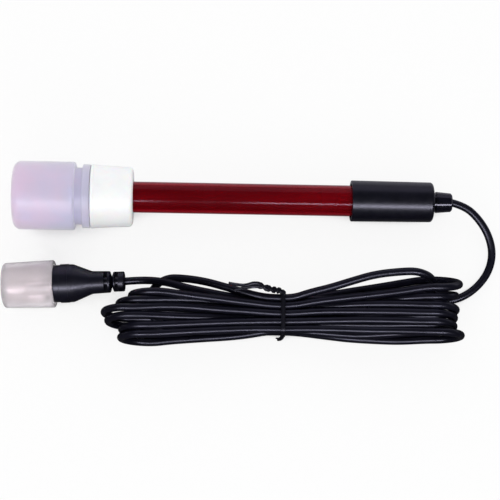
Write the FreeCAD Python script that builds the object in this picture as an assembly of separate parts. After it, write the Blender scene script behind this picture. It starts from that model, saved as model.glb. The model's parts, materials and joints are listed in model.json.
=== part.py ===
import FreeCAD, Part
import math
import os

# Redox electrode in its storage bottle, with a tied hank of cable and a capped bayonet plug.
# Millimetres. The electrode lies along +X, tip towards -X, head towards +X, and +Z is up.
# The origin is under the middle of the electrode and bottle, on the surface they lie on.

V = FreeCAD.Vector
AXIS = V(1, 0, 0)
ORIGIN = V(0, 0, 0)

# Fits between pieces
slip = 0.05              # radial clearance of a fixed push fit
running = 0.03           # radial clearance where a piece slides or turns on another
face_gap = 0.05          # gap between flat faces that move apart

# Shaping
fine_fillet = 0.2
small_fillet = 0.3
overshoot = 1.0          # how far a cutter reaches past what it cuts
fillet_share = 0.48      # largest share of an edge that one fillet may take
arc_share = 0.45         # share of a cable's run that each of its arcs takes
tiny = 1e-6

# Storage bottle: stations run along the electrode's axis from the bottle's outer bottom
bottle_od = 26.5
bottle_length = 23.8
bottle_wall = 1.2
bottle_base_fillet = 3.0
bottle_shoulder_fillet = 2.0
bottle_inner_fillet = 1.6
neck_od = 22.0
neck_length = 2.8
neck_wall = 1.4
flange_od = 24.7
flange_thick = 3.0
flange_fillet = 0.5
finish_od = 18.4         # root of the screw thread
finish_wall = 1.4
finish_length = 11.7

# Screw thread of the bottle and its cap
thread_pitch = 3.0
thread_depth = 0.9
thread_root_width = 1.6
thread_crest_width = 0.8
thread_start = 2.4       # from the flange's top to the middle of the first turn
bottle_thread_turns = 2.5
cap_thread_turns = 2.0
thread_play = 0.2        # radial gap between a crest and the facing root
thread_bury = 0.3        # how far a ridge's foot goes into its wall

# Bottle cap
cap_rim_gap = 0.3
cap_rim_od = 24.4
cap_top_od = 23.0
cap_bead_od = 24.9
cap_bead_length = 1.3
cap_end_wall = 2.1
cap_fillet = 1.8
cap_hole_play = 0.2

# Gasket that seals the bottle on the shaft
gasket_od = 18.0
gasket_thick = 2.5
gasket_fillet = 0.4

# Electrode body
tube_od = 12.0
tube_wall = 1.2
tube_ends_od = 11.6      # slimmer ends, inside the bottle's cap and in the head
tip_clearance = 2.8      # from the bottle's inner bottom to the tip
tube_visible = 84.5      # between the bottle cap and the head
guard_slots = 4
guard_slot_width = 2.5
guard_slot_length = 6.0
tip_fillet = 0.4

# Sensor inside the tube
stem_od = 5.0
stem_wall = 0.8
stem_recess = 3.6        # how far the sensing face lies behind the guard's end
stem_end_wall = 1.2
stem_length = 120.8
stem_fillet = 0.8
disc_od = 2.5
disc_thick = 0.4
signal_wire_od = 0.6
junction_start = 8.0     # from the tip
junction_length = 4.0
spacer_start = 69.1      # from the tip
spacer_length = 4.3
spacer_ports = 3
spacer_port_od = 1.4
reference_wire_od = 0.8
reference_wire_offset = 3.6
reference_wire_start = 36.0
reference_wire_exit_offset = 0.9
reference_wire_bend = 1.5
seal_length = 6.0
stem_overhang = 3.6      # how far the stem reaches past the seal

# Head
head_length = 31.9
head_front_od = 16.0
head_rear_od = 15.5
head_front_chamfer = 0.3
head_rear_fillet = 1.2
head_recess_od = 13.4
head_recess_depth = 3.0
head_socket_depth = 14.3
head_cavity_od = 9.4
head_end_wall = 3.6
potting_length = 9.0
potting_gap = 0.1

# Gland that holds the cable in the head
gland_flange_play = 0.4
gland_flange_thick = 2.0
gland_shank_od = 6.0
gland_length = 7.5       # outside the head
gland_waist_od = 7.4
gland_waist_length = 1.2
gland_od = 8.3
gland_end_od = 7.3
gland_chamfer = 0.5

# Cable
cable_od = 3.0
cable_bore_play = 0.05
cable_tail = 6.0         # held inside the gland

# Plug: stations run along the plug's axis from the dust cover's closed end
cover_end_od = 17.2
cover_mouth_od = 18.3
cover_length = 19.7
cover_end_wall = 1.5
cover_mouth_flare = 0.6
cover_end_fillet = 1.2
cover_lip_fillet = 0.9
nut_front = 2.3
nut_length = 14.4
nut_barrel_od = 13.2
nut_barrel_length = 7.0
nut_od = 14.4
nut_chamfer = 0.7
nut_fillet = 0.4
nut_bore = 9.8
nut_chamber_od = 12.0
nut_chamber_length = 4.9
nut_lip_play = 0.2
nut_lip_thick = 1.5
knurl_teeth = 32
knurl_depth = 0.3
knurl_margin = 0.9
slot_width = 2.2
slot_depth = 0.9
slot_entry_length = 1.8
slot_rise = 3.6
slot_turn = 100.0        # degrees
detent_od = 2.3
bayonet_slots = 2

plug_flange_play = 0.4
plug_flange_thick = 1.2
sleeve_front = 4.0
sleeve_od = 8.1
sleeve_wall = 0.55
sleeve_slots = 4
sleeve_slot_width = 0.5
sleeve_slot_length = 4.2
plug_barrel_od = 10.0
plug_barrel_end = 18.9
plug_step_od = 7.8
plug_step_end = 22.0
crimp_stem_od = 4.9
crimp_stem_end = 28.0
wave_height = 1.6
wave_swing = 0.55
wave_thick = 0.25
waves = 3
wave_points = 8          # on each wave
washer_play = 0.2
thrust_thick = 0.85
insulator_od = 5.1
insulator_nose_od = 4.8
insulator_nose = 4.0
insulator_front = 5.5
insulator_end = 18.4
pin_od = 1.37
pin_front = 4.6
pin_end = 21.9
pin_tip = 0.5
pin_collar_od = 2.2
pin_collar_length = 0.8
pin_play = 0.045
plug_gasket_play = 0.15
plug_gasket_thick = 1.0
ferrule_margin = 0.35
ferrule_wall = 0.7

# Moulded boot over the plug's rear
boot_front_od = 14.3
boot_step = 3.1          # length of the front collar
boot_od = 14.9
boot_ridge = 3.3         # from the collar to the shallow line
boot_ridge_drop = 0.15
boot_taper_start = 8.1
boot_tail_start = 15.3
boot_tail_od = 8.8
boot_tail_end = 22.2
boot_tail_end_od = 8.3
boot_notch = 1.3
boot_core_od = 4.1
boot_ring_od = 7.7
boot_length = 27.7
boot_fillet = 0.5
boot_taper_fillet = 3.0
relief_slot_width = 1.4
relief_slot_starts = [19.9, 24.0]  # from the boot's front
relief_web = 1.8

# Where the plug, the cable and the hank lie: x from the gland's mouth, y from the electrode, z from
# the surface
plug_x = -173.0          # closed end of the dust cover
plug_y = -34.6
plug_yaw = 2.2           # degrees

# Free cable: route points chosen along the real one
lead_route = [
    (5.5, -1.2, 7.1),
    (12.0, -5.0, 5.9),
    (16.4, -11.4, 4.2),
    (17.5, -19.2, 2.6),
    (15.2, -26.6, 1.8),
    (10.1, -32.3, 1.9),
    (3.7, -35.7, 2.5),
    (-2.5, -37.7, 3.5),
]
plug_cable_route = [
    (-119.5, -32.3, 10.9),
    (-110.5, -33.1, 11.2),
    (-102.5, -35.4, 11.2),
]

# Hank of cable: x, y, width and height of its oval, height of the oval's middle
hank_sections = [
    (-133.6, -47.6, 9.0, 17.0, 10.5),
    (-128.0, -47.4, 18.1, 21.0, 10.8),
    (-115.0, -45.3, 23.5, 21.0, 10.8),
    (-102.0, -44.0, 26.0, 19.0, 10.2),
    (-85.0, -44.7, 20.0, 14.0, 8.6),
    (-68.5, -44.8, 16.8, 9.6, 7.0),
    (-62.5, -44.8, 16.8, 9.6, 7.0),
    (-45.0, -44.6, 18.4, 13.0, 7.6),
    (-28.0, -43.4, 23.4, 18.4, 9.8),
    (-13.0, -42.3, 26.0, 21.4, 10.9),
    (-2.0, -42.4, 24.4, 21.4, 10.9),
    (2.6, -42.2, 19.0, 17.0, 10.7),
]
tie_x = -65.5
tie_width = 1.5
tie_thick = 0.5
tie_gap = 0.1
tie_twist_od = 1.9
tie_tail_od = 0.9

# Tie: route points from the middle of the hank's waist
tie_twist_route = [(0.0, 6.8, 4.0), (-3.6, 9.6, 5.4), (-11.0, 11.9, 6.6)]
tie_tail_route = [(-11.0, 11.9, 6.6), (-15.0, 12.3, 7.0), (-19.6, 12.4, 7.6)]

# Stations along the electrode
flange_start = bottle_length + neck_length
flange_top = flange_start + flange_thick
mouth = flange_top + finish_length
gasket_start = mouth + face_gap
cap_seat = gasket_start + gasket_thick + face_gap
cap_rim = flange_top + cap_rim_gap
cap_end = cap_seat + cap_end_wall
tip = bottle_wall + tip_clearance
head_front = cap_end + tube_visible
head_rear = head_front + head_length
tube_end = head_front + head_socket_depth
stem_front = tip + stem_recess
junction_front = tip + junction_start
gel_front = junction_front + junction_length
stem_rear = stem_front + stem_length
seal_rear = stem_rear - stem_overhang
gel_rear = seal_rear - seal_length
spacer_front = tip + spacer_start
cavity_rear = head_rear - head_end_wall
gland_end = head_rear + gland_length
cable_start = head_rear - cable_tail

# Radii shared by neighbours
tube_r = tube_od / 2
tube_ends_r = tube_ends_od / 2
tube_bore_r = tube_r - tube_wall
inner_r = tube_bore_r - slip
stem_r = stem_od / 2
cable_r = cable_od / 2
cable_bore_r = cable_r + cable_bore_play
finish_r = finish_od / 2
cap_root_r = finish_r + thread_depth + thread_play
cap_crest_r = cap_root_r - thread_depth
nut_chamber_r = nut_chamber_od / 2
plug_barrel_r = plug_barrel_od / 2
sleeve_r = sleeve_od / 2
ferrule_bore_r = crimp_stem_od / 2 + slip

# Stations along the plug
nut_rear = nut_front + nut_length
lip_front = nut_rear - nut_lip_thick
chamber_front = lip_front - nut_chamber_length
thrust_front = lip_front - face_gap - thrust_thick
plug_flange_rear = thrust_front - wave_height - 2 * face_gap
plug_flange_front = plug_flange_rear - plug_flange_thick
boot_front = plug_barrel_end
boot_end = boot_front + boot_length


def fillet_arc(before, corner, after, radius):
    """Tangent points and middle of the arc that rounds one corner."""
    to_a, to_b = before - corner, after - corner
    reach = min(to_a.Length, to_b.Length) * fillet_share
    to_a.normalize()
    to_b.normalize()
    half = to_a.getAngle(to_b) / 2
    setback = min(radius / math.tan(half), reach)
    radius = setback * math.tan(half)
    inward = to_a + to_b
    inward.normalize()
    middle = corner + inward * (radius / math.sin(half) - radius)
    return corner + to_a * setback, middle, corner + to_b * setback


def outline(corners):
    """Closed wire through (x, y, fillet) corners."""
    points = [V(x, y, 0) for x, y, _ in corners]
    edges, starts, ends = [], [], []
    for i, corner in enumerate(points):
        radius = corners[i][2]
        if radius <= 0:
            starts.append(corner)
            ends.append(corner)
            continue
        a, middle, b = fillet_arc(points[i - 1], corner, points[(i + 1) % len(points)], radius)
        edges.append(Part.Arc(a, middle, b).toShape())
        starts.append(a)
        ends.append(b)
    for i in range(len(points)):
        a, b = ends[i], starts[(i + 1) % len(points)]
        if a.distanceToPoint(b) > tiny:
            edges.append(Part.LineSegment(a, b).toShape())
    return Part.Wire(Part.__sortEdges__(edges))


def turned(corners):
    """Solid of revolution about X from (station, radius, fillet) corners."""
    return Part.Face(outline(corners)).revolve(ORIGIN, AXIS, 360)


def ring(start, end, inner, outer, fillet=0.0):
    return turned([(start, inner, 0), (start, outer, fillet), (end, outer, fillet), (end, inner, 0)])


def rod(start, end, radius, offset=0.0, angle=0.0):
    """Cylinder along X, off the axis by offset."""
    shape = Part.makeCylinder(radius, end - start, V(start, 0, offset), AXIS)
    shape.rotate(ORIGIN, AXIS, angle)
    return shape


def block(start, end, width, low, high, angle=0.0):
    """Box along X, width across, from low to high along its own radius."""
    shape = Part.makeBox(end - start, width, high - low, V(start, -width / 2, low))
    shape.rotate(ORIGIN, AXIS, angle)
    return shape


def helical(section, pitch, height, radius, start):
    """Solid swept along a right-handed helix about X. The section is (radius, station) corners."""
    helix = Part.makeHelix(pitch, height, radius)
    points = [V(r, 0, z) for r, z in section]
    wire = Part.makePolygon(points + points[:1])
    shape = Part.Wire(helix).makePipeShell([wire], True, True)
    shape.rotate(ORIGIN, V(0, 1, 0), -90)
    shape.rotate(ORIGIN, V(0, 0, 1), 180)
    shape.translate(V(start, 0, 0))
    return shape


def thread_ridge(root_r, crest_r, turns, start):
    """Screw ridge on a wall at root_r, with its crest at crest_r."""
    buried_r = root_r - math.copysign(thread_bury, crest_r - root_r)
    slope = (thread_root_width - thread_crest_width) / 2 / thread_depth
    foot = thread_root_width / 2 + slope * thread_bury
    crest = thread_crest_width / 2
    section = [(buried_r, -foot), (crest_r, -crest), (crest_r, crest), (buried_r, foot)]
    return helical(section, thread_pitch, thread_pitch * turns, root_r, start)


def widest_radii(points):
    """Radius of the largest arc at each corner of a route that both its runs allow."""
    radii = []
    for before, corner, after in zip(points, points[1:], points[2:]):
        to_a, to_b = before - corner, after - corner
        half_turn = (math.pi - to_a.getAngle(to_b)) / 2
        radii.append(arc_share * min(to_a.Length, to_b.Length) / math.tan(half_turn))
    return radii


def swept(points, radii, section_r):
    """Round bar along straight runs joined by tangent arcs, and the length of its path."""
    edges, here = [], points[0]
    for i, radius in enumerate(radii, 1):
        a, middle, b = fillet_arc(points[i - 1], points[i], points[i + 1], radius)
        edges += [Part.LineSegment(here, a).toShape(), Part.Arc(a, middle, b).toShape()]
        here = b
    edges.append(Part.LineSegment(here, points[-1]).toShape())
    path = Part.Wire(edges)
    circle = Part.Wire(Part.Circle(points[0], points[1] - points[0], section_r).toShape())
    return path.makePipeShell([circle], True, True), path.Length


def tube_along(points, diameter, name):
    """Cable along a route, with its length, radii and volume printed for checking."""
    radii = widest_radii(points)
    shape, length = swept(points, radii, diameter / 2)
    ratio = shape.Volume / (length * math.pi * diameter ** 2 / 4)
    listed = ", ".join("%.1f" % r for r in radii)
    print("%s: length %.1f, radii %s, volume ratio %.4f" % (name, length, listed, ratio))
    return shape


def rest_pose():
    """Tilt and height at which the bottle's shoulder and the head's rear edge both touch the surface."""
    bottle_s = bottle_length - bottle_shoulder_fillet
    head_s = head_rear - head_rear_fillet
    bottle_drop = bottle_od / 2 - bottle_shoulder_fillet
    head_drop = head_rear_od / 2 - head_rear_fillet
    run, rise = head_s - bottle_s, bottle_drop - head_drop
    excess = bottle_shoulder_fillet - head_rear_fillet
    tilt = math.asin(excess / math.hypot(run, rise)) + math.atan2(rise, run)
    height = bottle_shoulder_fillet + bottle_drop * math.cos(tilt) + bottle_s * math.sin(tilt)
    return tilt, height


tilt, axis_height = rest_pose()
low_x = bottle_base_fillet * math.cos(tilt) - bottle_base_fillet
low_x -= (bottle_od / 2 - bottle_base_fillet) * math.sin(tilt)
high_x = gland_end * math.cos(tilt) + (gland_end_od / 2 - gland_chamfer) * math.sin(tilt)
middle_x = (low_x + high_x) / 2
electrode_turn = FreeCAD.Rotation(V(0, 1, 0), math.degrees(tilt))
electrode_place = FreeCAD.Placement(V(-middle_x, 0, axis_height), electrode_turn)
gland_mouth = electrode_place.multVec(V(gland_end, 0, 0))

cover_slope = math.atan((cover_mouth_od - cover_end_od) / 2 / cover_length)
cover_pitch = FreeCAD.Rotation(V(0, 1, 0), -math.degrees(cover_slope))
plug_turn = FreeCAD.Rotation(V(0, 0, 1), plug_yaw).multiply(cover_pitch)
cover_end = V(gland_mouth.x + plug_x, plug_y, cover_end_od / 2 * math.cos(cover_slope))
plug_place = FreeCAD.Placement(cover_end, plug_turn)


def on_electrode(shape):
    shape.Placement = electrode_place.multiply(shape.Placement)
    return shape


def on_plug(shape):
    shape.Placement = plug_place.multiply(shape.Placement)
    return shape


def beside_electrode(route):
    """Points of a route, whose x is given from the gland's mouth."""
    return [V(gland_mouth.x + x, y, z) for x, y, z in route]


def storage_bottle():
    body_r, inner = bottle_od / 2, bottle_od / 2 - bottle_wall
    neck_r, bore = neck_od / 2, finish_r - finish_wall
    shoulder_in = bottle_length - bottle_wall
    shape = turned([
        (0, 0, 0),
        (0, body_r, bottle_base_fillet),
        (bottle_length, body_r, bottle_shoulder_fillet),
        (bottle_length, neck_r, 0),
        (flange_start, neck_r, 0),
        (flange_start, flange_od / 2, flange_fillet),
        (flange_top, flange_od / 2, flange_fillet),
        (flange_top, finish_r, 0),
        (mouth, finish_r, 0),
        (mouth, bore, 0),
        (flange_top - neck_wall, bore, 0),
        (flange_top - neck_wall, neck_r - neck_wall, 0),
        (shoulder_in, neck_r - neck_wall, 0),
        (shoulder_in, inner, bottle_inner_fillet),
        (bottle_wall, inner, bottle_inner_fillet),
        (bottle_wall, 0, 0),
    ])
    ridge = thread_ridge(finish_r, finish_r + thread_depth, bottle_thread_turns, flange_top + thread_start)
    return on_electrode(shape.fuse(ridge))


def bottle_cap():
    rim_r, top_r, bead_r = cap_rim_od / 2, cap_top_od / 2, cap_bead_od / 2
    hole_r = tube_r + cap_hole_play
    shape = turned([
        (cap_rim, cap_root_r, 0),
        (cap_rim, bead_r, small_fillet),
        (cap_rim + cap_bead_length, bead_r, small_fillet),
        (cap_rim + cap_bead_length, rim_r, 0),
        (cap_end, top_r, cap_fillet),
        (cap_end, hole_r, 0),
        (cap_seat, hole_r, 0),
        (cap_seat, cap_root_r, 0),
    ])
    start = flange_top + thread_start + thread_pitch / 2
    return on_electrode(shape.fuse(thread_ridge(cap_root_r, cap_crest_r, cap_thread_turns, start)))


def bottle_gasket():
    end = gasket_start + gasket_thick
    return on_electrode(ring(gasket_start, end, tube_ends_r + running, gasket_od / 2, gasket_fillet))


def body_tube():
    shape = turned([
        (tip, tube_bore_r, 0),
        (tip, tube_ends_r, tip_fillet),
        (cap_end, tube_ends_r, 0),
        (cap_end, tube_r, 0),
        (head_front, tube_r, 0),
        (head_front, tube_ends_r, 0),
        (tube_end, tube_ends_r, 0),
        (tube_end, tube_bore_r, 0),
    ])
    for i in range(guard_slots):
        angle = 360.0 * i / guard_slots + 180.0 / guard_slots
        end = tip + guard_slot_length
        slot = block(tip - overshoot, end, guard_slot_width, stem_r, tube_r + overshoot, angle)
        shape = shape.cut(slot)
    return on_electrode(shape)


def sensor_stem():
    bore = stem_r - stem_wall
    shape = turned([
        (stem_front, disc_od / 2 + slip, 0),
        (stem_front, stem_r, stem_fillet),
        (stem_rear, stem_r, 0),
        (stem_rear, bore, 0),
        (stem_front + stem_end_wall, bore, 0),
        (stem_front + stem_end_wall, signal_wire_od / 2 + slip, 0),
        (stem_front + disc_thick, signal_wire_od / 2 + slip, 0),
        (stem_front + disc_thick, disc_od / 2 + slip, 0),
    ])
    return on_electrode(shape)


def platinum_disc():
    return on_electrode(rod(stem_front, stem_front + disc_thick, disc_od / 2))


def signal_wire():
    return on_electrode(rod(stem_front + disc_thick, cable_start, signal_wire_od / 2))


def reference_wire_shape(grow=0.0):
    """Silver wire beside the stem that bends in to the cable behind the tube."""
    bend_x = tube_end + reference_wire_bend
    drop = reference_wire_offset - reference_wire_exit_offset
    points = [
        V(tip + reference_wire_start - grow, 0, reference_wire_offset),
        V(bend_x, 0, reference_wire_offset),
        V(bend_x + drop, 0, reference_wire_exit_offset),
        V(cable_start + grow, 0, reference_wire_exit_offset),
    ]
    radii = [reference_wire_bend, reference_wire_bend]
    return swept(points, radii, reference_wire_od / 2 + grow)[0]


def reference_wire():
    return on_electrode(reference_wire_shape())


def wire_hole(start, end):
    return rod(start, end + overshoot, reference_wire_od / 2 + slip, reference_wire_offset)


def filling(start, end):
    """Ring between the stem and the tube's bore."""
    return ring(start, end, stem_r + slip, inner_r)


def junction_ring():
    return on_electrode(filling(junction_front, gel_front))


def spacer_port(i):
    angle = 360.0 * (i + 0.5) / spacer_ports
    middle_r = (stem_r + tube_bore_r) / 2
    return rod(spacer_front, spacer_front + spacer_length, spacer_port_od / 2, middle_r, angle)


def stem_spacer():
    shape = filling(spacer_front, spacer_front + spacer_length)
    shape = shape.cut(wire_hole(spacer_front - overshoot, spacer_front + spacer_length))
    for i in range(spacer_ports):
        shape = shape.cut(spacer_port(i))
    return on_electrode(shape)


def electrolyte_gel():
    """One body of gel on both sides of the spacer, joined through its ports."""
    spacer_rear = spacer_front + spacer_length
    shape = filling(gel_front, spacer_front).fuse(filling(spacer_rear, gel_rear))
    for i in range(spacer_ports):
        shape = shape.fuse(spacer_port(i))
    return on_electrode(shape.cut(wire_hole(tip + reference_wire_start - slip, gel_rear)))


def seal_plug():
    return on_electrode(filling(gel_rear, seal_rear).cut(wire_hole(gel_rear - overshoot, seal_rear)))


def head_cap():
    socket_r, shank_r = tube_ends_r + slip, gland_shank_od / 2 + slip
    shape = turned([
        (head_front, head_recess_od / 2, 0),
        (head_front, head_front_od / 2, head_front_chamfer),
        (head_rear, head_rear_od / 2, head_rear_fillet),
        (head_rear, shank_r, 0),
        (cavity_rear, shank_r, 0),
        (cavity_rear, head_cavity_od / 2, 0),
        (tube_end, head_cavity_od / 2, 0),
        (tube_end, socket_r, 0),
        (head_front + head_recess_depth, socket_r, 0),
        (head_front + head_recess_depth, head_recess_od / 2, 0),
    ])
    return on_electrode(shape)


def head_potting():
    """Resin round the wire ends, behind the tube."""
    start = tube_end + potting_gap
    end = start + potting_length
    shape = rod(start, end, head_cavity_od / 2 - slip)
    shape = shape.cut(rod(start - overshoot, end + overshoot, signal_wire_od / 2 + slip))
    return on_electrode(shape.cut(reference_wire_shape(slip)))


def cable_gland():
    shank_r = gland_shank_od / 2
    flange_r = head_cavity_od / 2 - gland_flange_play
    shape = turned([
        (cavity_rear - gland_flange_thick, cable_bore_r, 0),
        (cavity_rear - gland_flange_thick, flange_r, 0),
        (cavity_rear, flange_r, 0),
        (cavity_rear, shank_r, 0),
        (head_rear, shank_r, 0),
        (head_rear, gland_waist_od / 2, 0),
        (head_rear + gland_waist_length, gland_waist_od / 2, 0),
        (head_rear + gland_waist_length, gland_od / 2, fine_fillet),
        (gland_end - gland_chamfer, gland_end_od / 2, 0),
        (gland_end, gland_end_od / 2 - gland_chamfer, 0),
        (gland_end, cable_bore_r, 0),
    ])
    return on_electrode(shape)


def lead_cable():
    """Cable from the gland's bore to the hank, where its face follows the hank's side."""
    route = [gland_mouth] + beside_electrode(lead_route)
    held = on_electrode(rod(cable_start, gland_end, cable_r))
    return tube_along(route, cable_od, "lead cable").cut(cable_hank()).fuse(held)


def plug_cable():
    """Cable from the crimp in the boot to the hank, where its face follows the hank's side."""
    route = [plug_place.multVec(V(boot_end, 0, 0))] + beside_electrode(plug_cable_route)
    held = on_plug(rod(pin_end + face_gap, boot_end, cable_r))
    return tube_along(route, cable_od, "plug cable").cut(cable_hank()).fuse(held)


def oval(x, y, z, width, height):
    """Upright oval across the hank."""
    wire = Part.Wire(Part.Ellipse(ORIGIN, max(width, height) / 2, min(width, height) / 2).toShape())
    wire.rotate(ORIGIN, AXIS, 90)
    wire.rotate(ORIGIN, V(0, 0, 1), 90)
    if height > width:
        wire.rotate(ORIGIN, AXIS, 90)
    wire.translate(V(x, y, z))
    return wire


def cable_hank():
    """Outer shape of the tied hank: fanned loops at both ends and a tight waist."""
    wires = [oval(gland_mouth.x + x, y, z, width, height) for x, y, width, height, z in hank_sections]
    return Part.makeLoft(wires, True, True)


def hank_tie():
    """Wire tie round the waist, twisted on itself, with its two tails side by side."""
    _, y, width, height, z = next(s for s in hank_sections if s[0] > tie_x)
    half = tie_width / 2
    inner = Part.Face(oval(-half, y, z, width + 2 * tie_gap, height + 2 * tie_gap))
    reach = 2 * (tie_gap + tie_thick)
    outer = Part.Face(oval(-half, y, z, width + reach, height + reach))
    band = outer.cut(inner).extrude(V(tie_width, 0, 0))
    for route, size in ((tie_twist_route, tie_twist_od), (tie_tail_route, tie_tail_od)):
        points = [V(dx, y + dy, z + dz) for dx, dy, dz in route]
        band = band.fuse(tube_along(points, size, "tie"))
    band.translate(V(gland_mouth.x + tie_x, 0, 0))
    return band


def dust_cover():
    """Closed sleeve that is pushed over the coupling nut."""
    bore_r = nut_od / 2 + running
    shape = turned([
        (0, 0, 0),
        (0, cover_end_od / 2, cover_end_fillet),
        (cover_length, cover_mouth_od / 2, cover_lip_fillet),
        (cover_length, bore_r + cover_mouth_flare, 0),
        (nut_rear, bore_r, 0),
        (cover_end_wall, bore_r, 0),
        (cover_end_wall, 0, 0),
    ])
    return on_plug(shape)


def knurl_band(start, end, root_r, teeth, depth, core_r):
    """Straight knurl as one extruded star ring."""
    points = []
    for i in range(2 * teeth):
        angle = math.pi * i / teeth
        r = root_r + depth * (i % 2)
        points.append(V(start, r * math.cos(angle), r * math.sin(angle)))
    star = Part.Face(Part.makePolygon(points + points[:1]))
    shape = star.extrude(V(end - start, 0, 0))
    return shape.cut(rod(start - overshoot, end + overshoot, core_r))


def bayonet_slot(angle):
    """Entry, helical ramp and detent hole that a socket's stud follows."""
    bore_r = nut_bore / 2
    low, high = bore_r - slot_depth, bore_r + slot_depth
    half = slot_width / 2
    ramp_start = nut_front + slot_entry_length
    entry = block(nut_front - overshoot, ramp_start + half, slot_width, low, high)
    section = [(low, -half), (high, -half), (high, half), (low, half)]
    ramp = helical(section, slot_rise * 360.0 / slot_turn, slot_rise, bore_r, ramp_start)
    detent = Part.makeCylinder(detent_od / 2, nut_barrel_od, V(ramp_start + slot_rise, 0, 0), V(0, 0, 1))
    detent.rotate(ORIGIN, AXIS, slot_turn)
    shape = entry.fuse(ramp).fuse(detent)
    shape.rotate(ORIGIN, AXIS, angle)
    return shape


def coupling_nut():
    barrel_end = nut_front + nut_barrel_length
    root_r = nut_od / 2 - knurl_depth
    knurl_start, knurl_end = barrel_end + knurl_margin, nut_rear - knurl_margin
    shape = turned([
        (nut_front, nut_bore / 2, 0),
        (nut_front, nut_barrel_od / 2, nut_fillet),
        (barrel_end, nut_barrel_od / 2, 0),
        (knurl_start, nut_od / 2, 0),
        (knurl_start, root_r, 0),
        (knurl_end, root_r, 0),
        (knurl_end, nut_od / 2, 0),
        (nut_rear, nut_od / 2 - nut_chamfer, 0),
        (nut_rear, plug_barrel_r + nut_lip_play, 0),
        (lip_front, plug_barrel_r + nut_lip_play, 0),
        (lip_front, nut_chamber_r, 0),
        (chamber_front, nut_chamber_r, 0),
        (chamber_front, nut_bore / 2, 0),
    ])
    core_r = (root_r + nut_chamber_r) / 2
    shape = shape.fuse(knurl_band(knurl_start, knurl_end, root_r, knurl_teeth, knurl_depth, core_r))
    for i in range(bayonet_slots):
        shape = shape.cut(bayonet_slot(360.0 * i / bayonet_slots))
    return on_plug(shape)


def plug_body():
    """Plug body: slotted contact sleeve, flange, barrel and the stem that the cable is crimped on."""
    flange_r = nut_chamber_r - plug_flange_play
    shape = turned([
        (sleeve_front, sleeve_r - sleeve_wall, 0),
        (sleeve_front, sleeve_r, fine_fillet),
        (plug_flange_front, sleeve_r, 0),
        (plug_flange_front, flange_r, 0),
        (plug_flange_rear, flange_r, 0),
        (plug_flange_rear, plug_barrel_r, 0),
        (plug_barrel_end, plug_barrel_r, 0),
        (plug_barrel_end, plug_step_od / 2, 0),
        (plug_step_end, plug_step_od / 2, 0),
        (plug_step_end, crimp_stem_od / 2, 0),
        (crimp_stem_end, crimp_stem_od / 2, 0),
        (crimp_stem_end, cable_bore_r, 0),
        (insulator_end + slip, cable_bore_r, 0),
        (insulator_end + slip, insulator_od / 2 + slip, 0),
        (insulator_front + insulator_nose, insulator_od / 2 + slip, 0),
        (insulator_front + insulator_nose, sleeve_r - sleeve_wall, 0),
    ])
    for i in range(sleeve_slots):
        slot = block(sleeve_front - overshoot, sleeve_front + sleeve_slot_length, sleeve_slot_width,
                     sleeve_r / 2, sleeve_r + overshoot, 360.0 * i / sleeve_slots)
        shape = shape.cut(slot)
    return on_plug(shape)


def wave_curve(radius, offset):
    """Closed curve that rises and falls along the plug's axis."""
    steps = waves * wave_points
    middle = (plug_flange_rear + thrust_front) / 2 + offset
    points = []
    for i in range(steps):
        angle = 2 * math.pi * i / steps
        station = middle + wave_swing * math.cos(waves * angle)
        points.append(V(station, radius * math.cos(angle), radius * math.sin(angle)))
    curve = Part.BSplineCurve()
    curve.interpolate(points, PeriodicFlag=True)
    return curve.toShape()


def wave_washer():
    """Spring washer with three waves, between the plug's flange and the thrust washer."""
    inner = plug_barrel_r + washer_play
    outer = nut_chamber_r - washer_play
    half = wave_thick / 2
    edges = [wave_curve(r, h) for r, h in ((inner, -half), (outer, -half), (outer, half), (inner, half))]
    faces = [Part.makeRuledSurface(edges[i - 1], edges[i]) for i in range(len(edges))]
    shell = Part.makeShell(faces)
    shell.sewShape()
    shape = Part.makeSolid(shell)
    if shape.Volume < 0:
        shape.reverse()
    return on_plug(shape)


def thrust_washer():
    inner = plug_barrel_r + running + slip
    outer = nut_chamber_r - running - slip
    return on_plug(ring(thrust_front, thrust_front + thrust_thick, inner, outer))


def plug_insulator():
    nose_end = insulator_front + insulator_nose
    bore = pin_od / 2 + pin_play
    shape = turned([
        (insulator_front, bore, 0),
        (insulator_front, insulator_nose_od / 2, small_fillet),
        (nose_end, insulator_nose_od / 2, 0),
        (nose_end, insulator_od / 2, 0),
        (insulator_end, insulator_od / 2, 0),
        (insulator_end, bore, 0),
    ])
    return on_plug(shape)


def plug_pin():
    collar = insulator_end + slip
    shape = turned([
        (pin_front, 0, 0),
        (pin_front, pin_od / 2, pin_tip),
        (collar, pin_od / 2, 0),
        (collar, pin_collar_od / 2, 0),
        (collar + pin_collar_length, pin_collar_od / 2, 0),
        (collar + pin_collar_length, pin_od / 2, 0),
        (pin_end, pin_od / 2, 0),
        (pin_end, 0, 0),
    ])
    return on_plug(shape)


def plug_gasket():
    """Soft ring against the flange, which a socket's rim presses on."""
    outer = nut_bore / 2 - plug_gasket_play
    start = plug_flange_front - plug_gasket_thick
    return on_plug(ring(start, plug_flange_front, sleeve_r + slip, outer, fine_fillet))


def crimp_ferrule():
    start, end = plug_step_end + ferrule_margin, crimp_stem_end - ferrule_margin
    return on_plug(ring(start, end, ferrule_bore_r, ferrule_bore_r + ferrule_wall, fine_fillet))


def relief_slot(start):
    """Slot above and below that leaves the core and a web on each side, so that the tail can bend."""
    reach = boot_od / 2
    core_r = boot_core_od / 2
    end = start + relief_slot_width
    slab = block(start, end, boot_od, -reach, reach)
    start, end = start - overshoot, end + overshoot
    web = block(start, end, boot_od + overshoot, -relief_web / 2, relief_web / 2)
    return slab.cut(web).cut(rod(start, end, core_r))


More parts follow.
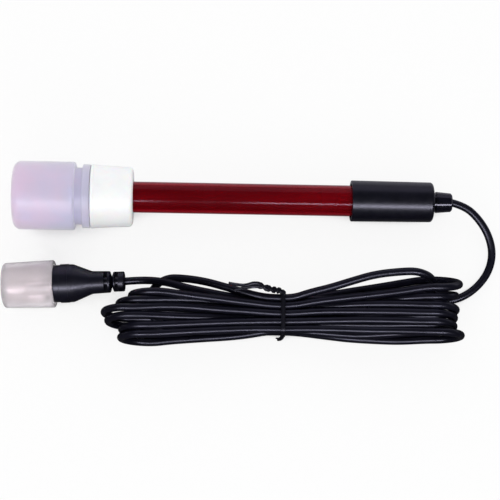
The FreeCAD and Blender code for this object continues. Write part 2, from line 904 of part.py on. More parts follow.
def plug_boot():
    """Moulded boot with a stepped grip, a taper and a slotted tail."""
    front_r, grip_r, tail_r = boot_front_od / 2, boot_od / 2, boot_tail_od / 2
    collar_end = boot_front + boot_step
    ridge = collar_end + boot_ridge
    tail_end = boot_front + boot_tail_end
    notch_end = tail_end + boot_notch
    ferrule_r = ferrule_bore_r + ferrule_wall + slip
    step_r = plug_step_od / 2 + slip
    shape = turned([
        (boot_front, step_r, 0),
        (boot_front, front_r, small_fillet),
        (collar_end, front_r, 0),
        (collar_end, grip_r, fine_fillet),
        (ridge, grip_r, 0),
        (ridge, grip_r - boot_ridge_drop, 0),
        (boot_front + boot_taper_start, grip_r - boot_ridge_drop, boot_taper_fillet),
        (boot_front + boot_tail_start, tail_r, boot_taper_fillet),
        (tail_end, boot_tail_end_od / 2, boot_fillet),
        (tail_end + boot_notch / 2, boot_core_od / 2, 0),
        (notch_end, boot_ring_od / 2, boot_fillet),
        (boot_end, boot_ring_od / 2, boot_fillet),
        (boot_end, cable_bore_r, 0),
        (crimp_stem_end + slip, cable_bore_r, 0),
        (crimp_stem_end + slip, ferrule_r, 0),
        (plug_step_end + slip, ferrule_r, 0),
        (plug_step_end + slip, step_r, 0),
    ])
    for start in relief_slot_starts:
        shape = shape.cut(relief_slot(boot_front + start))
    return on_plug(shape)


def main():
    os.makedirs("parts", exist_ok=True)
    pieces = [
        storage_bottle, bottle_cap, bottle_gasket, body_tube, sensor_stem, platinum_disc, signal_wire,
        junction_ring, reference_wire, electrolyte_gel, stem_spacer, seal_plug, head_cap, head_potting,
        cable_gland, lead_cable, cable_hank, plug_cable, hank_tie, plug_body, coupling_nut, wave_washer,
        thrust_washer, plug_insulator, plug_pin, plug_gasket, crimp_ferrule, plug_boot, dust_cover,
    ]
    for piece in pieces:
        shape = piece()
        if len(shape.Solids) == 1:
            shape = shape.Solids[0]
        print(piece.__name__, shape.ShapeType, shape.isValid(), round(shape.Volume, 2))
        shape.exportStep("parts/%s.step" % piece.__name__)


main()
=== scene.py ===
import json
import math

import bpy
import numpy as np
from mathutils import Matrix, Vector


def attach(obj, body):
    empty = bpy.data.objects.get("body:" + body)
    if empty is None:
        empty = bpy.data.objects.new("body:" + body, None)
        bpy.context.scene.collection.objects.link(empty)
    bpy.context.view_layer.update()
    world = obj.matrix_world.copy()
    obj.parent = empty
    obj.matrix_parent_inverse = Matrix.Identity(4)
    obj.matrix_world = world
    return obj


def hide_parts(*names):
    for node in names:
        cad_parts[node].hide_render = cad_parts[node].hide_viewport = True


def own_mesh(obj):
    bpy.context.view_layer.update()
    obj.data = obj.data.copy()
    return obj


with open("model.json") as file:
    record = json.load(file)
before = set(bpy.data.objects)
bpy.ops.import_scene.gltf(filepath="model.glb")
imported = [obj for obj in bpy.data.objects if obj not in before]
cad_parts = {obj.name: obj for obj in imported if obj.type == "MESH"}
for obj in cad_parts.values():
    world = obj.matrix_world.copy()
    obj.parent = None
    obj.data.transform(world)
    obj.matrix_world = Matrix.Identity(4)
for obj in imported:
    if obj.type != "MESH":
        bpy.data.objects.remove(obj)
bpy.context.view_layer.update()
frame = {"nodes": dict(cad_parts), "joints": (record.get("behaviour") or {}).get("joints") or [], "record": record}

# Redox electrode in its storage bottle, with a tied hank of cable and a capped bayonet plug.
# The electrode lies along +X with its head towards +X. Lengths in the lists are millimetres.

MM = 0.001
TINY = 1e-9
scene = bpy.context.scene
JOINTS = {j["name"]: j for j in frame["joints"]}

# Stations along the electrode, from the bottle's bottom, and along the plug, from its cover's end
CAP_SEAT = 43.9
GLAND_MOUTH = 169.9
LIP_FRONT = 15.2
BOOT_MOUTH = 46.6

CABLE_D = 3.0


def along(joint, station, at_station, sign):
    """Point on a joint's axis at a station in millimetres. The joint's own point is at at_station."""
    axis = Vector(JOINTS[joint]["axis"]) * sign
    return Vector(JOINTS[joint]["pos_m"]) + axis * (station - at_station) * MM


def add(name, data):
    """New object in the scene."""
    obj = bpy.data.objects.new(name, data)
    scene.collection.objects.link(obj)
    return obj


gland_mouth = along("cap_turn", GLAND_MOUTH, CAP_SEAT, 1)
boot_mouth = along("nut_turn", BOOT_MOUTH, LIP_FRONT, -1)


def beside(points):
    """Points in metres from (x, y, z) in millimetres, whose x is counted from the gland's mouth."""
    return [Vector((gland_mouth.x + x * MM, y * MM, z * MM)) for x, y, z in points]


# Cable: the route of part.py at both ends
lead_route = [
    (5.5, -1.3, 7.1), (11.1, -6.5, 5.9), (14.9, -12.6, 4.2), (16.4, -19.4, 2.6),
    (14.8, -26.2, 1.8), (10.4, -32.2, 1.9), (4.4, -36.6, 2.5), (-2.5, -38.4, 2.8),
]
plug_cable_route = [(-102.5, -35.4, 11.2), (-110.5, -33.1, 11.2), (-119.5, -32.3, 10.9)]

# Hank: at the tie the fifteen passes lie in five columns and three layers
TIE_X = -65.5
TIE_HALF = 4.0           # the passes run straight this far on each side of the tie
COLUMN_Y = [-50.9, -47.9, -44.8, -41.8, -38.8]
LAYER_Z = [3.9, 7.0, 10.1]

# Loops of one end, in the order in which the cable takes them: (column, layer) where the lower run meets
# the tie, points of the lower run from the tie outwards, x of the loop's end, points of the upper run from
# the tie outwards, (column, layer) where it meets the tie. The last point of a run gives the y and z at
# which the loop's turn begins, and the turn gives its x.
left_loops = [
    ((2, 0), [(-92, -44.1, 2.2), (-112, -42.4, 1.6)], -128.2,
     [(-85.9, -41.0, 9.8), (-95.2, -40.7, 14.2), (-105.4, -41.0, 18.4), (-117.4, -41.6, 20.8)], (3, 1)),
    ((1, 1), [(-85, -48.2, 5.2), (-101, -47.3, 3.0), (-116, -46.8, 1.6)], -133.5,
     [(-82.0, -44.4, 12.8), (-91.5, -44.4, 15.2), (-100.8, -44.0, 17.4), (-111.0, -44.3, 19.6),
      (-121, -45.5, 20.8)], (2, 2)),
    ((1, 0), [(-85, -48.8, 4.6), (-95, -50.2, 4.6), (-106, -51.3, 3.0), (-115, -52.0, 1.6)], -127.0,
     [(-82.0, -48.7, 12.8), (-95.0, -49.8, 16.6), (-106.1, -50.8, 19.4), (-116.0, -51.5, 20.8)], (1, 2)),
    ((0, 1), [(-82.0, -52.6, 4.4), (-97.5, -53.2, 2.6), (-109.1, -53.8, 1.8), (-116, -54.5, 1.6)], -127.2,
     [(-78.2, -51.0, 12.0), (-95.0, -52.4, 16.6), (-106.5, -53.5, 19.4), (-116.5, -54.3, 20.8)], (0, 2)),
    ((0, 0), [(-85, -50.6, 2.2), (-100, -49.7, 1.6), (-117, -48.8, 1.6)], -132.4,
     [(-80.1, -46.1, 9.0), (-88.7, -46.7, 12.8), (-98.1, -47.3, 16.6), (-108.2, -47.2, 19.4),
      (-119.5, -46.7, 20.8)], (2, 1)),
    ((3, 0), [(-90, -41.0, 2.2), (-103, -39.8, 1.6), (-113.5, -39.0, 1.6)], -123.6,
     [(-78.3, -41.5, 12.6), (-86.9, -41.1, 15.4), (-102.0, -40.1, 19.2), (-113.5, -39.1, 20.8)],
     (3, 2)),
    ((4, 0), [(-75, -39.4, 4.4), (-83, -42.9, 5.8), (-93, -47.6, 5.9), (-105, -50.2, 6.0)], -117.0,
     [(-75.2, -38.5, 10.0), (-86.0, -35.6, 9.8), (-96.1, -32.7, 9.4), (-108.0, -31.4, 8.4)],
     (4, 2)),
]
right_loops = [
    ((1, 1), [(-50, -47.0, 6.8), (-35, -45.6, 5.0), (-22, -44.6, 2.8), (-10, -43.9, 1.6)], 0.3,
     [(-53.5, -41.9, 9.7), (-45.0, -42.0, 13.0), (-36.8, -41.8, 16.0), (-22.0, -42.2, 19.4),
      (-10.0, -42.8, 20.8)], (3, 1)),
    ((1, 0), [(-50, -47.6, 2.6), (-30, -47.6, 1.6), (-10, -47.2, 1.6)], -0.4,
     [(-51.7, -44.1, 12.4), (-36.8, -44.5, 16.4), (-22.0, -45.0, 19.4), (-10.9, -45.4, 20.8)], (2, 2)),
    ((0, 1), [(-51.4, -51.8, 6.4), (-43.7, -52.4, 5.6), (-35.9, -52.9, 4.8), (-23.4, -51.9, 3.0),
              (-10.5, -51.2, 1.9)], -0.7,
     [(-51.7, -48.0, 12.4), (-36.8, -48.2, 16.2), (-22.0, -48.9, 19.4), (-10.9, -49.4, 21.0)], (1, 2)),
    ((0, 0), [(-47.4, -52.3, 3.2), (-39.6, -52.9, 2.4), (-28.0, -53.2, 1.8), (-20.2, -53.2, 1.6),
              (-9.5, -52.5, 1.6)], 2.0,
     [(-55.4, -51.0, 11.8), (-44.2, -51.5, 14.6), (-33.2, -52.2, 17.4), (-22.1, -52.4, 19.4),
      (-9, -52.8, 20.8)], (0, 2)),
    ((3, 0), [(-50, -41.0, 2.6), (-30, -37.2, 1.6), (-10, -35.4, 1.6)], 0.2,
     [(-56, -44.0, 7.2), (-42, -42.4, 9.6), (-32, -40.9, 14.0), (-22, -39.9, 18.2),
      (-12.5, -39.6, 20.8)], (2, 1)),
    ((4, 0), [(-47.3, -36.3, 3.4), (-39.5, -34.7, 2.4), (-27.7, -32.7, 1.8), (-17.5, -30.8, 1.6),
              (-8.0, -29.8, 1.6)], 1.8,
     [(-51.7, -40.7, 12.6), (-36.7, -39.6, 16.0), (-22.3, -38.4, 19.2), (-9.2, -36.6, 20.8)], (3, 2)),
    ((4, 1), [(-50, -38.5, 6.6), (-35, -38.3, 4.4), (-19, -38.2, 3.0)], -8.0,
     [(-55.4, -37.0, 12.2), (-47.9, -35.5, 14.2), (-40.5, -33.5, 16.4), (-31.0, -31.0, 19.0),
      (-18, -30.1, 20.6)], (4, 2)),
]
exit_run = [(-75, -38.8, 7.2), (-84, -38.4, 8.7), (-92, -37.3, 10.4)]
entry_run = [(-14, -39.7, 1.8), (-30, -42.2, 1.7), (-48, -44.3, 2.6)]
TURN_POINTS = 6


def at_tie(place, side):
    column, layer = place
    return (TIE_X + side * TIE_HALF, COLUMN_Y[column], LAYER_Z[layer])


def turn(upper, lower, end_x):
    """Round end of a loop, from the last point of its upper run round to the last one of its lower run."""
    top, bottom = np.array(upper), np.array(lower)
    across = (top - bottom) / 2
    across[0] = 0
    radius = np.linalg.norm(across)
    side = math.copysign(1, end_x - TIE_X)
    middle = (top + bottom) / 2
    middle[0] = end_x - side * radius
    step = math.pi / TURN_POINTS
    points = []
    for i in range(TURN_POINTS):
        angle = math.pi / 2 - (i + 0.5) * step
        out = np.array([side * radius * math.cos(angle), 0, 0])
        points.append(tuple(middle + (out + across * math.sin(angle)) / math.cos(step / 2)))
    lead_in = np.array([side * radius * math.tan(step / 2), 0, 0])
    return [tuple(middle + across - lead_in)] + points + [tuple(middle - across - lead_in)]


def loop_points(loop, side):
    """A whole loop, from the tie along its lower run, round its end and back along its upper run."""
    low_place, low_run, end_x, high_run, high_place = loop
    end = turn(high_run[-1], low_run[-1], end_x)[::-1]
    return [at_tie(low_place, side)] + low_run[:-1] + end + high_run[-2::-1] + [at_tie(high_place, side)]


def hank_points():
    points = entry_run + [at_tie((2, 0), 1)]
    for left, right in zip(left_loops, right_loops):
        points += loop_points(left, -1)
        points += loop_points(right, 1)[::-1]
    return points + [at_tie((4, 1), -1)] + exit_run


SAMPLES = 4              # on each span of the cable's line, while it settles
SETTLE_ROUNDS = 120
SETTLE_SHARE = 0.5       # of an overlap that one round takes away
SMOOTHING = 0.12
SAME_PASS = 3 * CABLE_D  # places nearer to each other along the line don't push each other
FLOOR_GAP = 0.1          # kept between the cable and the floor


def sample_matrix(count):
    """Weights that give places on a quadratic spline from its control points."""
    t = (np.arange(SAMPLES) + 0.5) / SAMPLES
    weights = np.stack([(1 - t) ** 2 / 2, 0.5 + t - t * t, t * t / 2], axis=1)
    matrix = np.zeros(((count - 2) * SAMPLES, count))
    for i in range(count - 2):
        matrix[i * SAMPLES:(i + 1) * SAMPLES, i:i + 3] = weights
    return matrix


def settle(points, free):
    """Moves passes apart where they run into each other, as cable does, and keeps them on the floor."""
    start = np.array(points, float)
    matrix = sample_matrix(len(start))
    share = np.maximum(matrix.sum(0), TINY)[:, None]
    lines = matrix @ start
    steps = np.linalg.norm(np.diff(lines, axis=0), axis=1)
    station = np.concatenate([[0], np.cumsum(steps)])
    apart = np.abs(station[:, None] - station[None]) > SAME_PASS
    moved = np.zeros_like(start)
    for _ in range(SETTLE_ROUNDS):
        lines = matrix @ (start + moved)
        gap = lines[:, None] - lines[None]
        distance = np.linalg.norm(gap, axis=2)
        lap = np.where(apart & (distance < CABLE_D), CABLE_D - distance, 0)
        push = (gap * (lap / np.maximum(distance, TINY))[..., None]).sum(1) * SETTLE_SHARE
        push[:, 2] += np.maximum(CABLE_D / 2 + FLOOR_GAP - lines[:, 2], 0)
        moved += matrix.T @ push / share
        moved[1:-1] += SMOOTHING * (moved[:-2] + moved[2:] - 2 * moved[1:-1])
        moved[~free] = 0
    return [tuple(p) for p in start + moved]


SPAN_STEPS = 6           # of the cable's mesh, on each span of its line
BEVEL_STEPS = 5          # of its round section


def nurbs(name, points, radius):
    """Curve object with one open quadratic spline, led by control points in metres that carry its radius."""
    curve = bpy.data.curves.new(name, "CURVE")
    curve.dimensions = "3D"
    curve.bevel_depth = 1
    curve.bevel_resolution = BEVEL_STEPS
    curve.resolution_u = SPAN_STEPS
    spline = curve.splines.new("NURBS")
    spline.points.add(len(points) - 1)
    for point, place in zip(spline.points, points):
        point.co = (*place, 1)
        point.radius = radius
    spline.order_u = 3
    spline.use_endpoint_u = True
    return add(name, curve)


def cable_points():
    """The whole line: from the gland round to the hank, its passes, and on to the boot."""
    passes = hank_points()
    points = lead_route + passes + plug_cable_route
    first, last = len(lead_route) - 1, len(lead_route) + len(passes) - 1
    tie_xs = (TIE_X - TIE_HALF, TIE_X + TIE_HALF)
    free = np.array([first <= i <= last and p[0] not in tie_xs for i, p in enumerate(points)])
    return beside(settle(points, free))


# Tie: a thin ribbon with a ridge along each edge. Lengths are from the middle of the hank's waist.
WAIST = Vector((TIE_X, -44.85, 7.0))
BAND_HALF = (7.7, 4.7)
BAND_CORNER = 1.8
CORNER_STEPS = 6
RIBBON = [(-0.88, 0.12), (-0.8, 0.38), (-0.62, 0.5), (-0.42, 0.42), (-0.25, 0.28), (0.25, 0.28), (0.42, 0.42),
          (0.62, 0.5), (0.8, 0.38), (0.88, 0.12), (0.7, 0.0), (-0.7, 0.0)]
TWIST = [(0.2, 7.2, 4.4), (-1.2, 8.6, 5.4), (-5.2, 8.9, 5.4), (-9.6, 10.6, 5.6)]
TWIST_TURNS = 2.25
TWIST_STEPS = 72
TWIST_WIDTH = 0.95       # of the band's own width
TWIST_RISE = 2.5         # of the band's own thickness
STRAND_LIFT = -0.05      # of each strand's back from the pair's middle
TAILS = [
    [(-10.8, 11.0, 5.8), (-14.0, 9.9, 6.0), (-17.4, 10.3, 6.4), (-21.0, 11.0, 6.7)],
    [(-11.2, 10.7, 5.3), (-13.8, 9.9, 5.2), (-16.6, 9.1, 5.3), (-19.0, 8.0, 5.6)],
]
TAIL_STEPS = 24
TAIL_WIDTH = 0.62
TAIL_RISE = 1.3
STUB = [(0.2, -7.0, -1.2), (-0.2, -8.2, -2.6), (-1.3, -8.8, -4.0), (-2.1, -8.5, -4.9)]
STUB_OUTWARD = (0, -0.7, 0.7)


def along_curve(points, steps):
    """Places on one smooth curve led by points."""
    points = [np.array(p, float) for p in points]
    count = len(points) - 2
    places = []
    for k in range(steps + 1):
        u = min(k / steps * count, count - TINY)
        i, t = int(u), u - int(u)
        a = points[0] if i == 0 else (points[i] + points[i + 1]) / 2
        c = points[-1] if i == count - 1 else (points[i + 1] + points[i + 2]) / 2
        places.append((1 - t) ** 2 * a + 2 * t * (1 - t) * points[i + 1] + t * t * c)
    return places


def ribbon(verts, faces, places, outward, scales, closed=False):
    """Adds a ribbon that follows places, with its ridges towards outward."""
    first, size = len(verts), len(RIBBON)
    count = len(places)
    for k in range(count):
        after = places[(k + 1) % count] if closed or k < count - 1 else places[k]
        before = places[k - 1] if closed or k else places[k]
        run = Vector(after - before).normalized()
        up = Vector(outward[k])
        up = (up - run * up.dot(run)).normalized()
        across = run.cross(up)
        wide, tall = scales[k]
        verts += [Vector(places[k]) + across * width * wide + up * height * tall for width, height in RIBBON]
    for k in range(count if closed else count - 1):
        here, there = first + k * size, first + (k + 1) % count * size
        for i in range(size):
            j = (i + 1) % size
            faces.append((here + i, here + j, there + j, there + i))
    if not closed:
        faces.append(tuple(first + i for i in reversed(range(size))))
        faces.append(tuple(first + (count - 1) * size + i for i in range(size)))


def band_path():
    """Rounded rectangle round the waist, and its outward directions."""
    places, outward = [], []
    for quarter, (sign_y, sign_z) in enumerate([(1, 1), (-1, 1), (-1, -1), (1, -1)]):
        middle = np.array([0, sign_y * (BAND_HALF[0] - BAND_CORNER), sign_z * (BAND_HALF[1] - BAND_CORNER)])
        for k in range(CORNER_STEPS + 1):
            angle = math.pi / 2 * (quarter + k / CORNER_STEPS)
            out = np.array([0, math.cos(angle), math.sin(angle)])
            places.append(middle + out * BAND_CORNER)
            outward.append(out)
    return places, outward


def strand(tail, phase):
    """One half of the twisted pair with its tail."""
    core = along_curve(TWIST, TWIST_STEPS)
    places, outward, scales = [], [], []
    for k, place in enumerate(core):
        share = k / TWIST_STEPS
        run = Vector(core[min(k + 1, TWIST_STEPS)] - core[max(k - 1, 0)]).normalized()
        side = run.cross(Vector((0, 0, 1))).normalized()
        angle = 2 * math.pi * TWIST_TURNS * share + phase
        up = side.cross(run) * math.cos(angle) + side * math.sin(angle)
        places.append(place + np.array(up) * STRAND_LIFT)
        outward.append(up)
        scales.append((TWIST_WIDTH, TWIST_RISE))
    ends = along_curve([places[-1]] + tail, TAIL_STEPS)[1:]
    for k, place in enumerate(ends):
        share = (k + 1) / TAIL_STEPS
        places.append(place)
        outward.append(outward[TWIST_STEPS].lerp(Vector((0, 0, 1)), share))
        width = TWIST_WIDTH + (TAIL_WIDTH - TWIST_WIDTH) * share
        rise = TWIST_RISE + (TAIL_RISE - TWIST_RISE) * share
        scales.append((width, rise))
    return places, outward, scales


def tie_mesh():
    """Band round the waist, twisted pair with its two tails, and the stub beside the band."""
    verts, faces = [], []
    places, outward = band_path()
    ribbon(verts, faces, places, outward, [(1, 1)] * len(places), closed=True)
    for tail, phase in zip(TAILS, (0, math.pi)):
        ribbon(verts, faces, *strand(tail, phase))
    stub = along_curve(STUB, CORNER_STEPS)
    ribbon(verts, faces, stub, [STUB_OUTWARD] * len(stub), [(TWIST_WIDTH, TAIL_RISE)] * len(stub))
    origin = Vector((gland_mouth.x, 0, 0))
    mesh = bpy.data.meshes.new("cable_tie")
    mesh.from_pydata([origin + (WAIST + v) * MM for v in verts], [], faces)
    mesh.shade_smooth()
    return mesh


cable = nurbs("cable", [gland_mouth] + cable_points() + [boot_mouth], CABLE_D / 2 * MM)
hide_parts("lead_cable", "cable_hank", "plug_cable")
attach(cable, "electrode")

tie = add("cable_tie", tie_mesh())
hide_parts("hank_tie")
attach(tie, "electrode")

# The spring washer gets a mesh of its own; the real one flattens against the plug's flange as the nut floats
# forward
spring = add("wave_spring", frame["nodes"]["wave_washer"].data.copy())
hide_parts("wave_washer")
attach(spring, "electrode")
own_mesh(spring)


# Materials: lengths in metres, colours linear
NOISE_RANGE = (0.3, 0.7)     # where most of a noise's values lie
CLOUD_DETAIL = 3.0
GRAIN_DETAIL = 5.0
DRIFT = 0.2                  # of a noise's value, up at one end of a piece and down at the other
COOL_GLOSS = (0.86, 0.85, 1, 1)
MATERIALS = {}


def node(tree, kind, inputs=None, **settings):
    """New shader node. An input given as an output socket is linked, and any other value is set on it."""
    made = tree.nodes.new("ShaderNode" + kind)
    for name, value in settings.items():
        setattr(made, name, value)
    for name, value in (inputs or {}).items():
        if isinstance(value, bpy.types.NodeSocket):
            tree.links.new(value, made.inputs[name])
        else:
            made.inputs[name].default_value = value
    return made


def noise(tree, size, stretch=(1, 1, 1), detail=CLOUD_DETAIL):
    """Noise whose features are about size across, longer along an axis whose stretch is under 1."""
    place = node(tree, "TexCoord").outputs["Object"]
    scaled = node(tree, "Mapping", {"Vector": place, "Scale": stretch})
    inputs = {"Vector": scaled.outputs["Vector"], "Scale": 1 / size, "Detail": detail}
    return node(tree, "TexNoise", inputs).outputs["Fac"]


def spread(tree, value, low, high):
    """Value between low and high that follows a noise."""
    return node(tree, "MapRange", {"Value": value, "From Min": NOISE_RANGE[0], "From Max": NOISE_RANGE[1],
                                   "To Min": low, "To Max": high}).outputs["Result"]


def tint(tree, value, low, high):
    """Colour between low and high that follows a noise."""
    ramp = node(tree, "ValToRGB", {"Fac": value})
    for element, place, colour in zip(ramp.color_ramp.elements, NOISE_RANGE, (low, high)):
        element.position = place
        element.color = (*colour, 1)
    return ramp.outputs["Color"]


def drifted(tree, value, ends):
    """Value of a noise that also falls from one x to the other."""
    x = node(tree, "SeparateXYZ", {0: node(tree, "TexCoord").outputs["Object"]}).outputs["X"]
    fall = node(tree, "MapRange", {"Value": x, "From Min": ends[0], "From Max": ends[1], "To Min": DRIFT,
                                   "To Max": -DRIFT}).outputs["Result"]
    return node(tree, "Math", {0: value, 1: fall}, operation="ADD").outputs["Value"]


def finish(slot, low, high, rough, cloud, grain, depth, stretch=(1, 1, 1), drift=None, **sockets):
    """Procedural finish of a material slot. Its colour goes from low to high in clouds, its relief is depth
    high in a finer grain, and its roughness varies over rough at a size between the two. A stretch under 1
    draws them out along its axis, drift gives the two x between which the colour also shifts, and sockets
    are values that are the same all over."""
    made = MATERIALS[slot] = bpy.data.materials.new(slot)
    made.use_nodes = True
    tree = made.node_tree
    shader = tree.nodes["Principled BSDF"]
    clouds = noise(tree, cloud, stretch)
    if drift:
        clouds = drifted(tree, clouds, drift)
    fine = noise(tree, grain, stretch, GRAIN_DETAIL)
    tree.links.new(tint(tree, clouds, low, high), shader.inputs["Base Color"])
    between = noise(tree, (cloud * grain) ** 0.5, stretch)
    tree.links.new(spread(tree, between, *rough), shader.inputs["Roughness"])
    bump = node(tree, "Bump", {"Height": fine, "Distance": depth})
    tree.links.new(bump.outputs["Normal"], shader.inputs["Normal"])
    for name, value in sockets.items():
        shader.inputs[name.replace("_", " ")].default_value = value


finish("red_polycarbonate", (0.22, 0.002, 0.008), (0.36, 0.005, 0.014), (0.05, 0.16), 0.006, 0.004, 2e-6,
       (0.12, 1, 1), Transmission_Weight=0.72, IOR=1.45, Specular_Tint=(0.26, 0.22, 0.28, 1))
finish("clear_glass", (0.93, 0.95, 0.96), (0.97, 0.98, 0.98), (0.01, 0.04), 0.01, 0.001, 1e-6,
       Transmission_Weight=1.0, IOR=1.47)
finish("platinum", (0.72, 0.70, 0.67), (0.82, 0.80, 0.77), (0.12, 0.22), 0.001, 0.0002, 5e-7, Metallic=1.0)
finish("silver_wire", (0.55, 0.53, 0.50), (0.74, 0.72, 0.69), (0.3, 0.5), 0.002, 0.0002, 2e-6, (0.1, 1, 1),
       Metallic=1.0)
finish("signal_conductor", (0.70, 0.62, 0.48), (0.83, 0.76, 0.62), (0.25, 0.4), 0.002, 0.0002, 1e-6,
       (0.1, 1, 1), Metallic=1.0)
finish("porous_white", (0.76, 0.74, 0.70), (0.88, 0.87, 0.84), (0.8, 0.95), 0.0008, 0.00015, 3e-5)
finish("electrolyte", (0.50, 0.30, 0.28), (0.62, 0.40, 0.38), (0.15, 0.3), 0.006, 0.0015, 5e-6,
       (0.35, 1, 1), Transmission_Weight=0.2, IOR=1.36)
finish("clear_silicone", (0.78, 0.76, 0.73), (0.88, 0.86, 0.83), (0.35, 0.5), 0.003, 0.0005, 1e-5,
       Transmission_Weight=0.5, IOR=1.41)
finish("black_head", (0.002, 0.002, 0.006), (0.004, 0.004, 0.010), (0.28, 0.36), 0.004, 0.0009, 2e-6,
       Specular_Tint=COOL_GLOSS)
finish("resin", (0.03, 0.03, 0.034), (0.06, 0.06, 0.065), (0.35, 0.5), 0.003, 0.0004, 1e-5)
finish("black_gland", (0.002, 0.002, 0.005), (0.004, 0.004, 0.009), (0.14, 0.20), 0.004, 0.001, 1e-6,
       Specular_Tint=COOL_GLOSS)
finish("cable_jacket", (0.002, 0.002, 0.006), (0.004, 0.004, 0.010), (0.27, 0.35), 0.006, 0.002, 1e-6,
       Specular_Tint=(0.68, 0.68, 0.84, 1))
finish("tie_jacket", (0.002, 0.002, 0.005), (0.004, 0.004, 0.009), (0.3, 0.4), 0.003, 0.0008, 1.5e-6,
       Specular_Tint=COOL_GLOSS)
finish("boot_black", (0.002, 0.002, 0.007), (0.004, 0.004, 0.012), (0.31, 0.38), 0.005, 0.002, 1e-6,
       Specular_Tint=COOL_GLOSS)
finish("bottle_frosted", (0.82, 0.80, 1.0), (0.95, 0.79, 0.97), (0.38, 0.48), 0.012, 0.0008, 6e-6,
       drift=(-0.082, -0.060), Transmission_Weight=0.5, IOR=1.50, Sheen_Weight=1.0, Sheen_Roughness=0.5)
finish("cap_white", (0.92, 0.92, 0.94), (0.97, 0.965, 0.98), (0.38, 0.48), 0.006, 0.001, 2e-6,
       Subsurface_Weight=0.3, Subsurface_Scale=0.002, Sheen_Weight=0.15, Sheen_Roughness=0.4)
finish("gasket_grey", (0.45, 0.45, 0.47), (0.58, 0.58, 0.60), (0.5, 0.65), 0.002, 0.0003, 1e-5)
finish("nickel", (0.66, 0.60, 0.57), (0.76, 0.70, 0.67), (0.40, 0.50), 0.003, 0.0008, 5e-7, (1, 0.3, 0.3),
       Metallic=0.65)
finish("gold", (0.76, 0.56, 0.24), (0.86, 0.68, 0.34), (0.18, 0.3), 0.001, 0.0002, 5e-7, Metallic=1.0)
finish("ptfe", (0.86, 0.86, 0.84), (0.93, 0.93, 0.91), (0.4, 0.55), 0.002, 0.0003, 4e-6)
finish("cover_smoke", (0.82, 0.78, 0.81), (0.88, 0.84, 0.87), (0.13, 0.17), 0.008, 0.003, 5e-7,
       Transmission_Weight=0.71, IOR=1.40, Specular_Tint=(0.25, 0.25, 0.25, 1), Sheen_Weight=0.4,
       Sheen_Roughness=0.4)

for part in frame["record"]["subparts"]:
    frame["nodes"][part["node"]].material_slots[0].material = MATERIALS[part["material_slot"]]
cable.data.materials.append(MATERIALS["cable_jacket"])
tie.data.materials.append(MATERIALS["tie_jacket"])
spring.material_slots[0].material = MATERIALS["nickel"]

# Camera
AIM = Vector((0.0066, -0.0203, 0.011))
DISTANCE = 0.58
ELEVATION = math.radians(78)
YAW = math.radians(0.5)
LENS = 108.4
CLIP_START = 0.01

back = Vector((math.sin(YAW) * math.cos(ELEVATION), -math.cos(YAW) * math.cos(ELEVATION), math.sin(ELEVATION)))
camera = add("camera", bpy.data.cameras.new("camera"))
camera.data.lens = LENS
camera.data.clip_start = CLIP_START
camera.location = AIM + back * DISTANCE
camera.rotation_euler = (-back).to_track_quat("-Z", "Y").to_euler()
scene.camera = camera
scene.view_settings.view_transform = "Standard"

# Floor, surroundings and lamps
FLOOR_HALF = 2.0
FLOOR_GRAIN = 0.003
FLOOR_DETAIL = 4.0
FLOOR_GREYS = (0.86, 0.89)
FLOOR_ROUGHNESS = 0.8
FLOOR_SPECULAR = 0.2
FLOOR_SHADE = 0.12       # share of the floor's own shading that the camera sees
# Painted reflection: glossy pieces see the floor dark on its near side and pale on its far side, though it is
# evenly white
FLOOR_DARK = 0.05        # what the floor's near side adds to reflections, and what its far side adds
FLOOR_PALE = 0.7
FLOOR_TINT = (0.92, 0.9, 1)
FLOOR_TURN = 0.02        # y on each side of the origin within which the near side becomes the far one
# Painted shade: where the passes hide the sky, the floor's white glow gives way to its own dark shading
CREVICE_REACH = 0.02
CREVICE = (0.24, 0.46)   # open share of the sky at which the floor is dark, and at which it is white
WHITE = (1, 1, 1)
SKY = 0.87
SKY_REFLECTED = 0.05
SKY_TINT = (0.85, 0.85, 1)
# Lamps: name, elevation and turn of the direction from -Y in degrees, x, width, height, radiance, colour, and
# whether the lamp lights gloss, or else matt surfaces
LAMPS = [
    ("key", 25, 0, 0, 0.8, 0.20, 2.0, WHITE, False),
    ("back", 36, 180, 0, 0.9, 0.60, 0.42, WHITE, False),
    ("strip_left", 49, 0, -0.27, 0.46, 0.12, 17.0, (0.95, 0.94, 1.0), True),
    ("strip_right", 49, 0, 0.27, 0.46, 0.12, 17.0, (0.95, 0.94, 1.0), True),
    ("card", 24, 180, 0, 0.9, 0.40, 0.6, (0.88, 0.84, 1.0), True),
]
LAMP_DISTANCE = 0.6


def by_ray(tree, reflected, seen, diffuse):
    """One shader for reflections, one for what is seen directly or through something, one for the rest."""
    path = node(tree, "LightPath")
    direct = node(tree, "Math", {0: path.outputs["Is Camera Ray"], 1: path.outputs["Is Transmission Ray"]},
                  operation="MAXIMUM")
    mirrored = node(tree, "MixShader", {0: path.outputs["Is Glossy Ray"], 1: diffuse.outputs[0],
                                        2: reflected.outputs[0]})
    return node(tree, "MixShader", {0: direct.outputs["Value"], 1: mirrored.outputs[0], 2: seen.outputs[0]})


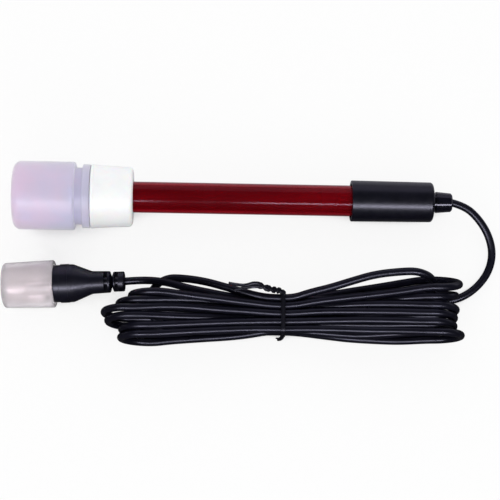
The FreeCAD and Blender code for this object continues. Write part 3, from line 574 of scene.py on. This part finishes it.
def floor_material():
    """White to the camera, with painted shade in crevices and a painted reflection graded from dark to pale."""
    made = bpy.data.materials.new("floor_white")
    made.use_nodes = True
    tree = made.node_tree
    shader = tree.nodes["Principled BSDF"]
    paper = noise(tree, FLOOR_GRAIN, detail=FLOOR_DETAIL)
    low, high = [(grey, grey, grey) for grey in FLOOR_GREYS]
    tree.links.new(tint(tree, paper, low, high), shader.inputs["Base Color"])
    shader.inputs["Roughness"].default_value = FLOOR_ROUGHNESS
    shader.inputs["Specular IOR Level"].default_value = FLOOR_SPECULAR
    white = node(tree, "Emission")
    shaded = node(tree, "MixShader", {0: FLOOR_SHADE, 1: white.outputs[0], 2: shader.outputs[0]})
    # Painted shade in crevices: an occlusion mask takes away the floor's white glow
    opening = node(tree, "AmbientOcclusion", {"Distance": CREVICE_REACH}).outputs["AO"]
    lit = node(tree, "MapRange", {"Value": opening, "From Min": CREVICE[0], "From Max": CREVICE[1]})
    seen = node(tree, "MixShader", {0: lit.outputs["Result"], 1: shader.outputs[0], 2: shaded.outputs[0]})
    # Painted reflection: the floor's colour for glossy rays is ramped from dark at -Y to pale at +Y
    place = node(tree, "SeparateXYZ", {0: node(tree, "TexCoord").outputs["Object"]})
    side = node(tree, "MapRange", {"Value": place.outputs["Y"], "From Min": -FLOOR_TURN,
                                   "From Max": FLOOR_TURN})
    ramp = node(tree, "ValToRGB", {"Fac": side.outputs["Result"]})
    for element, shade in zip(ramp.color_ramp.elements, (FLOOR_DARK, FLOOR_PALE)):
        element.color = (*(shade * part for part in FLOOR_TINT), 1)
    dim = node(tree, "BsdfDiffuse", {"Color": ramp.outputs["Color"]})
    mixed = by_ray(tree, dim, seen, shader)
    tree.links.new(mixed.outputs[0], tree.nodes["Material Output"].inputs["Surface"])
    return made


def sky():
    """White to the camera, softer to matt surfaces and nearly dark to gloss."""
    world = bpy.data.worlds.new("world")
    world.use_nodes = True
    tree = world.node_tree
    white, soft, reflected = [node(tree, "Background", {"Color": (*colour, 1), "Strength": strength})
                              for colour, strength in ((WHITE, 1.0), (WHITE, SKY), (SKY_TINT, SKY_REFLECTED))]
    mixed = by_ray(tree, reflected, white, soft)
    tree.links.new(mixed.outputs[0], tree.nodes["World Output"].inputs["Surface"])
    return world


def add_lamp(name, elevation, turn, shift, width, height, radiance, colour, in_gloss):
    """Area lamp that faces the point at which the camera looks, moved sideways by shift."""
    data = bpy.data.lights.new(name, "AREA")
    data.shape = "RECTANGLE"
    data.size, data.size_y = width, height
    data.energy = radiance * math.pi * width * height
    data.color = colour
    rise, heading = math.radians(elevation), math.radians(turn)
    towards = Vector((math.sin(heading) * math.cos(rise), -math.cos(heading) * math.cos(rise), math.sin(rise)))
    lamp = add(name, data)
    lamp.visible_glossy, lamp.visible_diffuse = in_gloss, not in_gloss
    lamp.location = AIM + towards * LAMP_DISTANCE + Vector((shift, 0, 0))
    lamp.rotation_euler = (-towards).to_track_quat("-Z", "Y").to_euler()


corners = [(-FLOOR_HALF, -FLOOR_HALF, 0), (FLOOR_HALF, -FLOOR_HALF, 0), (FLOOR_HALF, FLOOR_HALF, 0),
           (-FLOOR_HALF, FLOOR_HALF, 0)]
floor_mesh = bpy.data.meshes.new("floor")
floor_mesh.from_pydata(corners, [], [(0, 1, 2, 3)])
floor_mesh.materials.append(floor_material())
floor = add("floor", floor_mesh)
scene.world = sky()
for lamp in LAMPS:
    add_lamp(*lamp)
